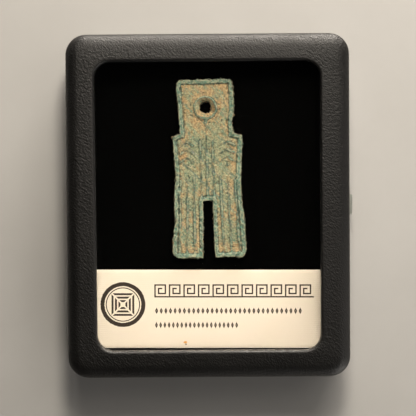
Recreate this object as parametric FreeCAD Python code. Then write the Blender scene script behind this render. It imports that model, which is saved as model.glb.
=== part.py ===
# Cased spade money: a cast bronze spade coin on a velvet pad, under the glazed lid of a
# small leatherette box with a hinge on the left wall and a push catch on the right one.
# Frame: X points to the catch, Y to the head of the coin, Z up from the table.
# The origin is the centre of the underside. All sizes are in millimetres.
import FreeCAD, Part
import math
import os

os.makedirs("parts", exist_ok=True)
Vector = FreeCAD.Vector

# Box outside
case_width = 89.0
case_length = 108.0
base_height = 14.0
lid_height = 11.7
seam_gap = 0.3
corner_radius = 6.6
shoulder_round = 4.0
seam_round = 0.6
foot_round = 2.5

# Leatherette, pressed steel and wadding
cover_thickness = 0.8
turn_in_thickness = 0.6
turn_in_depth = 4.0
bottom_turn_in = 9.0
felt_gap = 0.3
steel_thickness = 0.8
lid_padding_thickness = 1.0
padding_edge_gap = 0.6

# Window and pane
frame_side = 9.0
frame_end = 8.75
window_corner = 4.5
lip_round = 1.2
pane_depth = 3.4
pane_thickness = 2.0
pane_lap = 2.5
pane_fit = 0.3
liner_ledge = 1.4
liner_fit = 0.15
liner_setback = 0.4

# Pad and inner neck
pad_room = 4.7
collar_gap = 1.3
collar_thickness = 0.8
collar_rise = 2.3
pad_fit = 0.3
velvet_thickness = 0.7
velvet_round = 1.0
wadding_thickness = 1.8
board_thickness = 1.5

# Label card, tucked under the frame at both sides
label_tuck = 2.6
label_thickness = 0.5
label_margin = 0.4
label_coin_gap = 4.05
label_turn = -0.4

# Spade coin
coin_length = 56.5
coin_thickness = 3.0
coin_x = -0.3
coin_margin = 5.15
coin_turn = 1.1
head_width = 18.4
head_length = 17.3
neck_width = 16.9
shoulder_width = 22.2
shoulder_drop = 0.8
waist_width = 20.9
waist_drop = 31.0
foot_width = 23.9
foot_corner = 1.4
slot_width = 2.6
slot_length = 18.0
rim_width = 1.25
rim_height = 0.55
crotch_bar = 0.9
hole_radius = 1.7
hole_mouth_radius = 2.7
hole_drop = 9.1
ring_width = 0.8
ridge_width = 0.55
ridge_height = 0.42
leg_ridge_count = 3
leg_ridge_pitch = 2.2
chevron_count = 3
chevron_pitch = 2.5
chevron_reach = 2.2

# Hinge in the left wall
hinge_length = 44.0
knuckle_count = 5
knuckle_gap = 0.25
knuckle_radius = 1.0
pin_radius = 0.5
pin_fit = 0.05
pin_head_radius = 0.8
pin_head_height = 0.35
hinge_inset = 0.3
hinge_clearance = 0.3
leaf_thickness = 0.45
leaf_parting = 0.1
leaf_height = 4.2
hinge_rivet_count = 4
rivet_radius = 0.6
rivet_head_radius = 1.1
rivet_head_height = 0.4

# Push catch in the right wall
button_width = 6.5
button_height = 4.8
button_stand = 1.95
button_round = 0.6
button_travel = 1.0
button_fit = 0.2
button_y = 0.0
button_drop = 6.0
flange_lap = 1.0
flange_rise = 0.5
flange_thickness = 0.7
catch_clearance = 0.3
catch_plate = 0.6
hook_width = 4.4
hook_room = 0.9
hook_bite = 0.45
nose_height = 0.9
nose_play = 0.2
strike_bar = 0.8
strike_pad_width = 9.0
strike_pad_height = 3.2
housing_flange = 2.6
housing_overhang = 0.7
spring_thickness = 0.25
spring_width = 2.4
spring_seat_gap = 0.05
notch_margin = 0.7

# Levels, insets and places that the sizes above settle
wall = cover_thickness + steel_thickness
window_width = case_width - 2 * frame_side
window_length = case_length - 2 * frame_end
label_width = window_width + 2 * label_tuck
label_height = window_length - label_margin - label_coin_gap - coin_length - coin_margin
label_y = -window_length / 2 + label_margin + label_height / 2
coin_y = window_length / 2 - coin_margin - coin_length / 2
seam_top = base_height + seam_gap
lid_top = seam_top + lid_height
pane_top = lid_top - pane_depth
pane_bottom = pane_top - pane_thickness
liner_bottom = pane_bottom - liner_ledge
pad_top = pane_bottom - pad_room
padding_top = lid_top - cover_thickness
lid_steel_top = padding_top - lid_padding_thickness
web_bottom = lid_steel_top - steel_thickness
collar_inset = wall + collar_gap
collar_top = seam_top + collar_rise
pad_inset = collar_inset + collar_thickness + pad_fit
wadding_top = pad_top - velvet_thickness
board_top = wadding_top - wadding_thickness
foam_top = board_top - board_thickness
button_z = base_height - button_drop
hinge_x = -case_width / 2 + hinge_inset
hinge_z = base_height + seam_gap / 2
hinge_rivet_rise = (knuckle_radius + hinge_clearance + leaf_height) / 2

# Catch stations, counted inwards from the right wall
right_wall_inside = case_width / 2 - wall
flange_outside = right_wall_inside - catch_clearance
flange_inside = flange_outside - flange_thickness
slide_inside = flange_inside - catch_plate
tongue_outside = right_wall_inside - turn_in_thickness - catch_clearance
tongue_inside = tongue_outside - catch_plate
hook_outside = tongue_inside - hook_room
hook_inside = hook_outside - catch_plate
housing_outside = hook_inside - button_travel - catch_clearance
housing_inside = housing_outside - catch_plate
flange_half_width = button_width / 2 + flange_lap
flange_half_height = button_height / 2 + flange_rise
cheek_inside = flange_half_width + catch_clearance
cheek_outside = cheek_inside + catch_plate
housing_half_width = cheek_outside + housing_flange
housing_half_height = flange_half_height + housing_overhang
bar_bottom = button_z + flange_half_height + catch_clearance
bar_top = bar_bottom + strike_bar
nose_bottom = bar_top + nose_play
nose_top = nose_bottom + nose_height
notch_half_width = housing_half_width + notch_margin
notch_start = housing_inside - catch_clearance


def block(x0, x1, y0, y1, z0, z1):
    """A box between two corners."""
    return Part.makeBox(x1 - x0, y1 - y0, z1 - z0, Vector(x0, y0, z0))


def rounded_block(width, length, radius, z0, z1):
    """A centred block with rounded upright corners."""
    solid = block(-width / 2, width / 2, -length / 2, length / 2, z0, z1)
    if radius <= 0:
        return solid
    uprights = [edge for edge in solid.Edges if abs(edge.BoundBox.ZLength - (z1 - z0)) < 1e-6]
    return solid.makeFillet(radius, uprights)


def rim_edges(solid, level):
    """The edges that lie flat at one level."""
    return [edge for edge in solid.Edges
            if abs(edge.BoundBox.ZMin - level) < 1e-6 and abs(edge.BoundBox.ZMax - level) < 1e-6]


def slab(inset, z0, z1, top_round=0.0, bottom_round=0.0):
    """The plan of the box, drawn in from its outer face, between two levels."""
    solid = rounded_block(case_width - 2 * inset, case_length - 2 * inset,
                          corner_radius - inset, z0, z1)
    if top_round > 0:
        solid = solid.makeFillet(top_round, rim_edges(solid, z1))
    if bottom_round > 0:
        solid = solid.makeFillet(bottom_round, rim_edges(solid, z0))
    return solid


def window(margin, z0, z1):
    """The plan of the window, made larger by a margin, between two levels."""
    return rounded_block(window_width + 2 * margin, window_length + 2 * margin,
                         window_corner + margin, z0, z1)


def pad_slab(inset, z0, z1, top_round=0.0):
    """A layer of the pad, cut back beside the catch."""
    return slab(inset, z0, z1, top_round=top_round).cut(catch_notch(z0 - 1, z1 + 1))


def catch_notch(z0, z1):
    """The room that the catch takes inside the right wall."""
    return block(notch_start, case_width / 2 - wall, button_y - notch_half_width,
                 button_y + notch_half_width, z0, z1)


def hinge_notch():
    """The slot through both left walls in which the knuckles turn."""
    reach = knuckle_radius + hinge_clearance
    half = hinge_length / 2 + pin_head_height + hinge_clearance
    return block(-case_width, -case_width / 2 + wall + turn_in_thickness, -half, half,
                 hinge_z - reach, hinge_z + reach)


def hinge_leaf_room():
    """The gap in the turned-in leatherette that a hinge leaf lies in."""
    half = hinge_length / 2 + hinge_clearance
    reach = leaf_height + hinge_clearance
    return block(-case_width / 2 + wall, -case_width / 2 + wall + turn_in_thickness,
                 -half, half, hinge_z - reach, hinge_z + reach)


def turn_in(z0, z1):
    """The strip of leatherette that is folded over an edge and glued inside the wall."""
    return slab(wall, z0, z1).cut(slab(wall + turn_in_thickness, z0, z1))


def button_hole():
    """The hole through the right wall that guides the button."""
    half_width = button_width / 2 + button_fit
    half_height = button_height / 2 + button_fit
    return block(right_wall_inside - turn_in_thickness, case_width,
                 button_y - half_width, button_y + half_width,
                 button_z - half_height, button_z + half_height)


# Lid
def make_lid_cover():
    outside = slab(0, seam_top, lid_top, shoulder_round, seam_round)
    outside = outside.cut(window(0, seam_top - 1, lid_top + 1))
    lip = [edge for edge in rim_edges(outside, lid_top)
           if abs(edge.BoundBox.Center.x) < window_width / 2 + 0.1
           and abs(edge.BoundBox.Center.y) < window_length / 2 + 0.1]
    outside = outside.makeFillet(lip_round, lip)
    hollow = slab(cover_thickness, seam_top + cover_thickness, padding_top,
                  shoulder_round - cover_thickness)
    hollow = hollow.cut(window(cover_thickness, pane_top, lid_top))
    mouth = slab(wall, seam_top - 1, seam_top + cover_thickness + 1)
    cover = outside.cut(hollow).cut(mouth)
    folded = turn_in(seam_top, seam_top + turn_in_depth)
    pad_half = strike_pad_width / 2 + catch_clearance
    folded = folded.cut(block(tongue_inside, right_wall_inside, button_y - pad_half,
                              button_y + pad_half, seam_top - 1, seam_top + turn_in_depth + 1))
    return cover.fuse(folded).cut(hinge_notch()).cut(hinge_leaf_room())


def make_lid_padding():
    corner = shoulder_round - cover_thickness
    inner_corner = corner - padding_edge_gap
    wadding = slab(cover_thickness, seam_top, padding_top, corner)
    wadding = wadding.cut(slab(cover_thickness, seam_top, lid_steel_top, inner_corner))
    wadding = wadding.common(slab(cover_thickness + padding_edge_gap, seam_top, lid_top))
    return wadding.cut(window(cover_thickness, seam_top, lid_top))


def make_lid_frame():
    corner = shoulder_round - cover_thickness - padding_edge_gap
    frame = slab(cover_thickness, seam_top + cover_thickness, lid_steel_top, corner)
    frame = frame.cut(slab(wall, seam_top, web_bottom, corner - steel_thickness))
    flange = window(wall, pane_top, lid_steel_top)
    frame = frame.fuse(flange).cut(window(cover_thickness, seam_top, lid_top))
    for side in (-1, 1):
        frame = frame.cut(strike_rivet_hole(side))
    for y in hinge_rivet_stations():
        frame = frame.cut(hinge_rivet_hole(y, 1))
    return frame.cut(hinge_notch())


def make_window_pane():
    return window(pane_lap, pane_bottom, pane_top)


def make_lid_liner():
    corner = shoulder_round - cover_thickness - padding_edge_gap - steel_thickness
    liner = slab(wall + liner_fit, liner_bottom, web_bottom, corner)
    liner = liner.cut(window(pane_lap + pane_fit, pane_bottom, lid_top))
    return liner.cut(window(liner_setback, liner_bottom - 1, lid_top))


# Base
def make_base_cover():
    outside = slab(0, 0, base_height, seam_round, foot_round)
    hollow = slab(cover_thickness, cover_thickness, base_height - cover_thickness, 0,
                  foot_round - cover_thickness)
    cover = outside.cut(hollow)
    cover = cover.cut(slab(wall, base_height - cover_thickness - 1, base_height + 1))
    cover = cover.cut(slab(bottom_turn_in, -1, wall))
    cover = cover.fuse(turn_in(base_height - turn_in_depth, base_height))
    cover = cover.cut(catch_notch(base_height - turn_in_depth - 1, base_height + 1))
    return cover.cut(hinge_notch()).cut(hinge_leaf_room()).cut(button_hole())


def make_base_tray():
    tray = slab(cover_thickness, cover_thickness, base_height - cover_thickness, 0,
                foot_round - cover_thickness)
    tray = tray.cut(slab(wall, wall, base_height, 0, foot_round - wall))
    for side in (-1, 1):
        tray = tray.cut(housing_rivet_hole(side))
    for y in hinge_rivet_stations():
        tray = tray.cut(hinge_rivet_hole(y, -1))
    return tray.cut(hinge_notch()).cut(button_hole())


def make_base_felt():
    return slab(bottom_turn_in + felt_gap, 0, cover_thickness)


def make_base_collar():
    collar = slab(collar_inset, wall, collar_top)
    collar = collar.cut(slab(collar_inset + collar_thickness, wall - 1, collar_top + 1))
    return collar.cut(catch_notch(0, lid_top))


def make_velvet_cover():
    velvet = pad_slab(pad_inset, foam_top, pad_top, velvet_round)
    core = slab(pad_inset + velvet_thickness, foam_top - 1, wadding_top)
    margin = velvet_thickness
    core = core.cut(block(notch_start - margin, case_width / 2,
                          button_y - notch_half_width - margin,
                          button_y + notch_half_width + margin, 0, lid_top))
    return velvet.cut(core)


def make_inner_layer(z0, z1):
    """A layer wrapped by the velvet: the wadding or the board."""
    layer = slab(pad_inset + velvet_thickness, z0, z1)
    margin = velvet_thickness
    return layer.cut(block(notch_start - margin, case_width / 2,
                           button_y - notch_half_width - margin,
                           button_y + notch_half_width + margin, 0, lid_top))


def make_label_card():
    card = block(-label_width / 2, label_width / 2, -label_height / 2, label_height / 2,
                 pad_top, pad_top + label_thickness)
    card.rotate(Vector(0, 0, 0), Vector(0, 0, 1), label_turn)
    card.translate(Vector(0, label_y, 0))
    return card


# Coin, drawn lying flat about its own middle, head towards Y
coin_head = coin_length / 2
coin_foot = -coin_length / 2
shoulder_y = coin_head - head_length
waist_y = coin_head - waist_drop
slot_top = coin_foot + slot_length
hole_y = coin_head - hole_drop
field_top = coin_thickness - rim_height


def coin_plan(inset=0.0):
    """The outline of the coin as a flat face, drawn in by an inset."""
    right = [(slot_width / 2, slot_top), (slot_width / 2, coin_foot),
             (foot_width / 2, coin_foot), (waist_width / 2, waist_y),
             (shoulder_width / 2, shoulder_y - shoulder_drop), (neck_width / 2, shoulder_y),
             (head_width / 2, coin_head)]
    left = [(-x, y) for x, y in reversed(right)]
    points = [Vector(x, y, 0) for x, y in right + left]
    face = Part.Face(Part.makePolygon(points + points[:1]))
    if inset == 0:
        return face
    offset = face.makeOffset2D(-inset, join=2)
    return Part.Face(offset.Wires[0])


def ridge(points, width=ridge_width):
    """A raised line on the field, through points, with round ends."""
    strokes = []
    for (x0, y0), (x1, y1) in zip(points, points[1:]):
        run = math.hypot(x1 - x0, y1 - y0)
        stroke = block(0, run, -width / 2, width / 2, 0, ridge_height)
        stroke.rotate(Vector(0, 0, 0), Vector(0, 0, 1), math.degrees(math.atan2(y1 - y0, x1 - x0)))
        stroke.translate(Vector(x0, y0, field_top))
        strokes.append(stroke)
    for x, y in points:
        strokes.append(Part.makeCylinder(width / 2, ridge_height, Vector(x, y, field_top)))
    return strokes[0].fuse(strokes[1:])


def coin_relief():
    """Plain cast ornament: a midrib, ribs down the legs, stacked chevrons and pellets."""
    inner_slot = slot_width / 2 + rim_width
    leg_end = coin_foot + rim_width + ridge_width
    body_top = shoulder_y - shoulder_drop - rim_width
    relief = [ridge([(0, slot_top + crotch_bar), (0, hole_y - hole_mouth_radius - ring_width)])]
    spread = (foot_width - waist_width) / 2 / (waist_y - coin_foot)
    for side in (-1, 1):
        for step in range(leg_ridge_count):
            x = inner_slot + (step + 0.75) * leg_ridge_pitch
            top = waist_y - step * ridge_width
            lean = spread * (top - leg_end) * (step + 1) / (leg_ridge_count + 1)
            relief.append(ridge([(side * x, top), (side * (x + lean), leg_end)]))
        inner = inner_slot - ridge_width
        relief.append(ridge([(side * inner, slot_top + rim_width), (side * inner, body_top)]))
        middle = inner_slot + 1.75 * leg_ridge_pitch
        for step in range(chevron_count):
            peak = body_top - ridge_width - step * chevron_pitch
            foot = peak - chevron_pitch / 2
            relief.append(ridge([(side * (middle - chevron_reach), foot), (side * middle, peak),
                                 (side * (middle + chevron_reach), foot)]))
        pellet_y = body_top - ridge_width - chevron_count * chevron_pitch
        relief.append(Part.makeCylinder(ridge_width, ridge_height,
                                        Vector(side * middle, pellet_y, field_top)))
    return relief


def make_spade_coin():
    upright = Vector(0, 0, coin_thickness)
    blank = coin_plan().extrude(upright)
    foot_edges = [edge for edge in blank.Edges
                  if edge.BoundBox.ZLength > coin_thickness / 2
                  and abs(abs(edge.BoundBox.Center.x) - foot_width / 2) < 1e-6]
    blank = blank.makeFillet(foot_corner, foot_edges)
    field = coin_plan(rim_width).extrude(upright)
    bar = block(-slot_width / 2 - rim_width, slot_width / 2 + rim_width,
                slot_top, slot_top + rim_width, 0, coin_thickness)
    field = field.cut(bar)
    front = field.copy()
    front.translate(Vector(0, 0, field_top))
    back = field.copy()
    back.translate(Vector(0, 0, rim_height - coin_thickness))
    coin = blank.cut(front).cut(back)
    middle = Vector(0, hole_y, 0)
    ring = Part.makeCylinder(hole_mouth_radius + ring_width, coin_thickness, middle)
    coin = coin.fuse(ring)
    coin = coin.fuse([piece.common(blank) for piece in coin_relief()])
    coin = coin.cut(Part.makeCylinder(hole_radius, coin_thickness, middle))
    mouth = Part.makeCone(hole_radius, hole_mouth_radius, coin_thickness / 2,
                          middle + Vector(0, 0, coin_thickness / 2))
    coin = coin.cut(mouth).removeSplitter()
    coin.rotate(Vector(0, 0, 0), Vector(0, 0, 1), coin_turn)
    coin.translate(Vector(coin_x, coin_y, pad_top))
    return coin


# Hinge
def hinge_rivet_stations():
    pitch = hinge_length / hinge_rivet_count
    return [(index + 0.5) * pitch - hinge_length / 2 for index in range(hinge_rivet_count)]


def hinge_rivet_hole(y, side):
    """The hole of one hinge rivet: side is 1 in the lid and -1 in the base."""
    start = Vector(-case_width / 2 + cover_thickness, y, hinge_z + side * hinge_rivet_rise)
    return Part.makeCylinder(rivet_radius, steel_thickness + leaf_thickness, start, Vector(1, 0, 0))


def make_hinge_rivets(side):
    rivets = []
    for y in hinge_rivet_stations():
        top = Vector(-case_width / 2 + wall + leaf_thickness, y, hinge_z + side * hinge_rivet_rise)
        head = Part.makeCylinder(rivet_head_radius, rivet_head_height, top, Vector(1, 0, 0))
        rivets.append(hinge_rivet_hole(y, side).fuse(head).removeSplitter())
    return Part.makeCompound(rivets)


def make_hinge_leaf(side):
    """One leaf with its knuckles: side is 1 for the lid and -1 for the base."""
    along = Vector(0, 1, 0)
    knuckle_length = (hinge_length - (knuckle_count - 1) * knuckle_gap) / knuckle_count
    near, far = sorted((hinge_z + side * leaf_parting,
                        hinge_z + side * (leaf_parting + leaf_thickness)))
    leg_low, leg_high = sorted((hinge_z + side * leaf_parting, hinge_z + side * leaf_height))
    leaf_start = hinge_x + knuckle_radius + hinge_clearance / 2
    leg_start = -case_width / 2 + wall
    leaf = block(leaf_start, leg_start + leaf_thickness, -hinge_length / 2, hinge_length / 2,
                 near, far)
    leaf = leaf.fuse(block(leg_start, leg_start + leaf_thickness, -hinge_length / 2,
                           hinge_length / 2, leg_low, leg_high))
    first = 0 if side < 0 else 1
    for index in range(first, knuckle_count, 2):
        y = -hinge_length / 2 + index * (knuckle_length + knuckle_gap)
        knuckle = Part.makeCylinder(knuckle_radius, knuckle_length, Vector(hinge_x, y, hinge_z), along)
        web = block(hinge_x, leaf_start + leaf_thickness / 2, y, y + knuckle_length, near, far)
        leaf = leaf.fuse([knuckle, web])
    bore = Part.makeCylinder(pin_radius + pin_fit, hinge_length,
                             Vector(hinge_x, -hinge_length / 2, hinge_z), along)
    leaf = leaf.cut(bore)
    for y in hinge_rivet_stations():
        leaf = leaf.cut(hinge_rivet_hole(y, side))
    return leaf.removeSplitter()


def make_hinge_pin():
    along = Vector(0, 1, 0)
    pin = Part.makeCylinder(pin_radius, hinge_length,
                            Vector(hinge_x, -hinge_length / 2, hinge_z), along)
    for y in (-hinge_length / 2 - pin_head_height, hinge_length / 2):
        head = Part.makeCylinder(pin_head_radius, pin_head_height, Vector(hinge_x, y, hinge_z), along)
        pin = pin.fuse(head)
    return pin.removeSplitter()


# Catch
def strike_rivet_hole(side):
    y = button_y + side * strike_pad_width / 4
    start = Vector(right_wall_inside - catch_plate, y, strike_rivet_z())
    return Part.makeCylinder(rivet_radius, catch_plate + steel_thickness, start, Vector(1, 0, 0))


def strike_pad_bottom():
    return seam_top + cover_thickness + catch_plate


def strike_rivet_z():
    return strike_pad_bottom() + strike_pad_height / 2


def make_latch_strike():
    """A bent plate on the lid wall whose tongue hangs down and holds the hook."""
    pad_low = strike_pad_bottom()
    pad = block(right_wall_inside - catch_plate, right_wall_inside,
                button_y - strike_pad_width / 2, button_y + strike_pad_width / 2,
                pad_low - catch_plate, pad_low + strike_pad_height)
    tongue_half = hook_width / 2 + catch_clearance + strike_bar
    jog = block(tongue_inside, right_wall_inside, button_y - tongue_half, button_y + tongue_half,
                pad_low - catch_plate, pad_low)
    tongue = block(tongue_inside, tongue_outside, button_y - tongue_half, button_y + tongue_half,
                   bar_bottom, pad_low)
    slot_half = hook_width / 2 + catch_clearance
    slot = block(tongue_inside, tongue_outside, button_y - slot_half, button_y + slot_half,
                 bar_top, nose_top + catch_clearance)
    strike = pad.fuse([jog, tongue]).cut(slot)
    for side in (-1, 1):
        strike = strike.cut(strike_rivet_hole(side))
    return strike.removeSplitter()


def make_strike_rivets():
    rivets = []
    for side in (-1, 1):
        y = button_y + side * strike_pad_width / 4
        top = Vector(right_wall_inside - catch_plate, y, strike_rivet_z())
        head = Part.makeCylinder(rivet_head_radius, rivet_head_height, top, Vector(-1, 0, 0))
        rivets.append(strike_rivet_hole(side).fuse(head).removeSplitter())
    return Part.makeCompound(rivets)


def make_latch_button():
    """The stepped push button: a cap through the wall and a flange that keeps it in."""
    cap_end = case_width / 2 + button_stand
    cap = block(flange_inside, cap_end, button_y - button_width / 2, button_y + button_width / 2,
                button_z - button_height / 2, button_z + button_height / 2)
    outer = [edge for edge in cap.Edges if edge.BoundBox.XMin > cap_end - 1e-6]
    cap = cap.makeFillet(button_round, outer)
    flange = block(flange_inside, flange_outside, button_y - flange_half_width,
                   button_y + flange_half_width, button_z - flange_half_height,
                   button_z + flange_half_height)
    return cap.fuse(flange).removeSplitter()


def make_latch_slide():
    """A bent strip behind the button that rises past the tongue and hooks through it."""
    top = button_z + flange_half_height
    plate = block(slide_inside, flange_inside, button_y - flange_half_width,
                  button_y + flange_half_width, button_z - flange_half_height, top)
    half = hook_width / 2
    run = block(hook_inside, flange_inside, button_y - half, button_y + half, top - catch_plate, top)
    rise = block(hook_inside, hook_outside, button_y - half, button_y + half, top - catch_plate,
                 nose_top)
    tip = tongue_inside + hook_bite
    nose = block(hook_inside, tip, button_y - half, button_y + half, nose_bottom, nose_top)
    upper = [edge for edge in nose.Edges
             if edge.BoundBox.XMin > tip - 1e-6 and edge.BoundBox.ZMin > nose_top - 1e-6]
    nose = nose.makeChamfer(hook_bite, upper)
    return plate.fuse([run, rise, nose]).removeSplitter()


def housing_rivet_hole(side):
    y = button_y + side * (cheek_outside + housing_flange / 2)
    start = Vector(right_wall_inside - catch_plate, y, button_z)
    return Part.makeCylinder(rivet_radius, catch_plate + steel_thickness, start, Vector(1, 0, 0))


def make_latch_housing():
    """A hat-shaped bracket on the base wall that the slide and its spring sit in."""
    low = button_z - housing_half_height
    high = button_z + housing_half_height
    housing = block(housing_inside, housing_outside, button_y - cheek_outside,
                    button_y + cheek_outside, low, high - hook_room)
    for side in (-1, 1):
        y0, y1 = sorted((button_y + side * cheek_inside, button_y + side * cheek_outside))
        housing = housing.fuse(block(housing_inside, right_wall_inside, y0, y1, low, high))
        y0, y1 = sorted((button_y + side * cheek_inside, button_y + side * housing_half_width))
        housing = housing.fuse(block(right_wall_inside - catch_plate, right_wall_inside,
                                     y0, y1, low, high))
        housing = housing.cut(housing_rivet_hole(side))
    return housing.removeSplitter()


def make_housing_rivets():
    rivets = []
    for side in (-1, 1):
        hole = housing_rivet_hole(side)
        y = button_y + side * (cheek_outside + housing_flange / 2)
        top = Vector(right_wall_inside - catch_plate, y, button_z)
        head = Part.makeCylinder(rivet_head_radius, rivet_head_height, top, Vector(-1, 0, 0))
        rivets.append(hole.fuse(head).removeSplitter())
    return Part.makeCompound(rivets)


def make_latch_spring():
    """A bowed flat spring between the housing and the back of the slide."""
    half_span = cheek_inside - catch_clearance
    low = housing_outside + spring_seat_gap
    crown = slide_inside - spring_seat_gap

    def bow(x_end, x_crown, half):
        return Part.Arc(Vector(x_end, button_y - half, 0), Vector(x_crown, button_y, 0),
                        Vector(x_end, button_y + half, 0)).toShape()

    inner = bow(low, crown - spring_thickness, half_span - spring_thickness)
    outer = bow(low, crown, half_span)
    ends = [Part.makeLine(inner.Vertexes[index].Point, outer.Vertexes[index].Point)
            for index in (0, 1)]
    strip = Part.Face(Part.Wire(Part.sortEdges([inner, outer] + ends)[0]))
    strip.translate(Vector(0, 0, button_z - spring_width / 2))
    return strip.extrude(Vector(0, 0, spring_width))


pieces = {
    "lid_cover": make_lid_cover(),
    "lid_padding": make_lid_padding(),
    "lid_frame": make_lid_frame(),
    "window_pane": make_window_pane(),
    "lid_liner": make_lid_liner(),
    "hinge_leaf_lid": make_hinge_leaf(1),
    "hinge_rivets_lid": make_hinge_rivets(1),
    "latch_strike": make_latch_strike(),
    "strike_rivets": make_strike_rivets(),
    "base_cover": make_base_cover(),
    "base_tray": make_base_tray(),
    "base_felt": make_base_felt(),
    "base_collar": make_base_collar(),
    "foam_block": pad_slab(pad_inset, wall, foam_top),
    "pad_board": make_inner_layer(foam_top, board_top),
    "pad_wadding": make_inner_layer(board_top, wadding_top),
    "velvet_cover": make_velvet_cover(),
    "label_card": make_label_card(),
    "spade_coin": make_spade_coin(),
    "hinge_leaf_base": make_hinge_leaf(-1),
    "hinge_pin": make_hinge_pin(),
    "hinge_rivets_base": make_hinge_rivets(-1),
    "latch_housing": make_latch_housing(),
    "housing_rivets": make_housing_rivets(),
    "latch_spring": make_latch_spring(),
    "latch_button": make_latch_button(),
    "latch_slide": make_latch_slide(),
}

for name, shape in pieces.items():
    shape.exportStep(f"parts/{name}.step")
    box = shape.BoundBox
    print(f"{name}: {len(shape.Solids)} solids, valid {shape.isValid()}, "
          f"{shape.Volume:.1f} mm3, x {box.XMin:.2f} {box.XMax:.2f}, "
          f"y {box.YMin:.2f} {box.YMax:.2f}, z {box.ZMin:.2f} {box.ZMax:.2f}")
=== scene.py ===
# Cased spade money: a bronze spade coin and its card under the glazed lid of a leatherette box.
import bpy
import bmesh
import math
from mathutils import Euler, Matrix, Vector, noise


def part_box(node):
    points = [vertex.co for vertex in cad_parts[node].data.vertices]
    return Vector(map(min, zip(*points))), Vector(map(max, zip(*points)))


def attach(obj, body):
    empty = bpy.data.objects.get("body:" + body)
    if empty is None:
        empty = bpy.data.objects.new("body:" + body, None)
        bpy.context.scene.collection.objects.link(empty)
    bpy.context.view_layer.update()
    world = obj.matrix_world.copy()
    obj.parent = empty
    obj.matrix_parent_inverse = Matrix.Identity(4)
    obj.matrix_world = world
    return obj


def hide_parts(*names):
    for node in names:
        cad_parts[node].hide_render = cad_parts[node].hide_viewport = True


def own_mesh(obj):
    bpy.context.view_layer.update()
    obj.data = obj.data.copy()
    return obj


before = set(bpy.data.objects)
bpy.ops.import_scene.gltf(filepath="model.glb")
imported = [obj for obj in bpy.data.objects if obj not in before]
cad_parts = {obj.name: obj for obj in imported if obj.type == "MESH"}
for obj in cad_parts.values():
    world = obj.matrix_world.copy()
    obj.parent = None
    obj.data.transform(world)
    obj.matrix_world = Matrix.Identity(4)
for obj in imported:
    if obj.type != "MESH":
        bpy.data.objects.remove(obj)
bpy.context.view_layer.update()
mm = 0.001


# Lid leatherette. A sheet of black grained leatherette, wrapped over wadding and the pressed lid.
# It is glued down inside the window and folded round the lower edge, four millimetres up inside.
class Signal:
    """One output of a material's nodes. Arithmetic on signals adds Math nodes."""

    def __init__(self, tree, socket):
        self.tree = tree
        self.socket = socket

    def make(self, kind, settings=(), inputs=(), output=0):
        """Adds a node of one kind: its settings first, then what goes into its sockets."""
        node = self.tree.nodes.new("ShaderNode" + kind)
        for name, value in dict(settings).items():
            if name == "stops":
                ramp = node.color_ramp
                while len(ramp.elements) < len(value):
                    ramp.elements.new(0.5)
                for stop, (position, colour) in zip(ramp.elements, value):
                    stop.position = position
                    stop.color = (*colour, 1.0)
            else:
                setattr(node, name, value)
        for name, value in dict(inputs).items():
            if isinstance(value, Signal):
                self.tree.links.new(value.socket, node.inputs[name])
            else:
                node.inputs[name].default_value = value
        return Signal(self.tree, node.outputs[output])

    def math(self, operation, *others):
        values = dict(enumerate([self, *others]))
        return self.make("Math", {"operation": operation}, values)

    def __add__(self, other):
        return self.math("ADD", other)

    def __sub__(self, other):
        return self.math("SUBTRACT", other)

    def __mul__(self, other):
        return self.math("MULTIPLY", other)

    def __rsub__(self, other):
        return self.make("Math", {"operation": "SUBTRACT"}, {0: other, 1: self})

    __radd__ = __add__
    __rmul__ = __mul__

    def between(self, low, high, start=0.0, end=1.0):
        """Runs smoothly from start to end while the signal runs from low to high."""
        return self.make("MapRange", {"interpolation_type": "SMOOTHSTEP"},
                         {"Value": self, "From Min": low, "From Max": high,
                          "To Min": start, "To Max": end})

    def blend(self, first, second):
        """Mixes two colours: the first where the signal is 0, the second where it is 1."""
        first, second = (value if isinstance(value, Signal) else (*value, 1.0)
                         for value in (first, second))
        return self.make("Mix", {"data_type": "RGBA"}, {0: self, 6: first, 7: second}, 2)

    def stretched(self, turn, scale):
        """The same place, turned by Euler angles, then scaled along each axis."""
        turned = self.make("Mapping", {}, {"Vector": self, "Rotation": turn})
        return turned.make("Mapping", {}, {"Vector": turned, "Scale": scale})

    def noise(self, scale, detail=3.0, roughness=0.55):
        return self.make("TexNoise", {}, {"Vector": self, "Scale": scale, "Detail": detail,
                                          "Roughness": roughness}, "Fac")


def start_material(name, **constants):
    """An empty material: gives it, the place on the piece, and a way to feed its shader."""
    material = bpy.data.materials.new(name)
    material.use_nodes = True
    shader = material.node_tree.nodes["Principled BSDF"]
    for socket, value in constants.items():
        shader.inputs[socket.replace("_", " ")].default_value = value
    place = Signal(material.node_tree, None).make("TexCoord", output="Object")

    def feed(socket, signal):
        material.node_tree.links.new(signal.socket, shader.inputs[socket])

    return material, place, feed


def bumped(height, distance):
    """A normal from a height signal; its full depth is a distance in metres."""
    return height.make("Bump", {}, {"Height": height, "Distance": distance, "Strength": 1.0})


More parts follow.
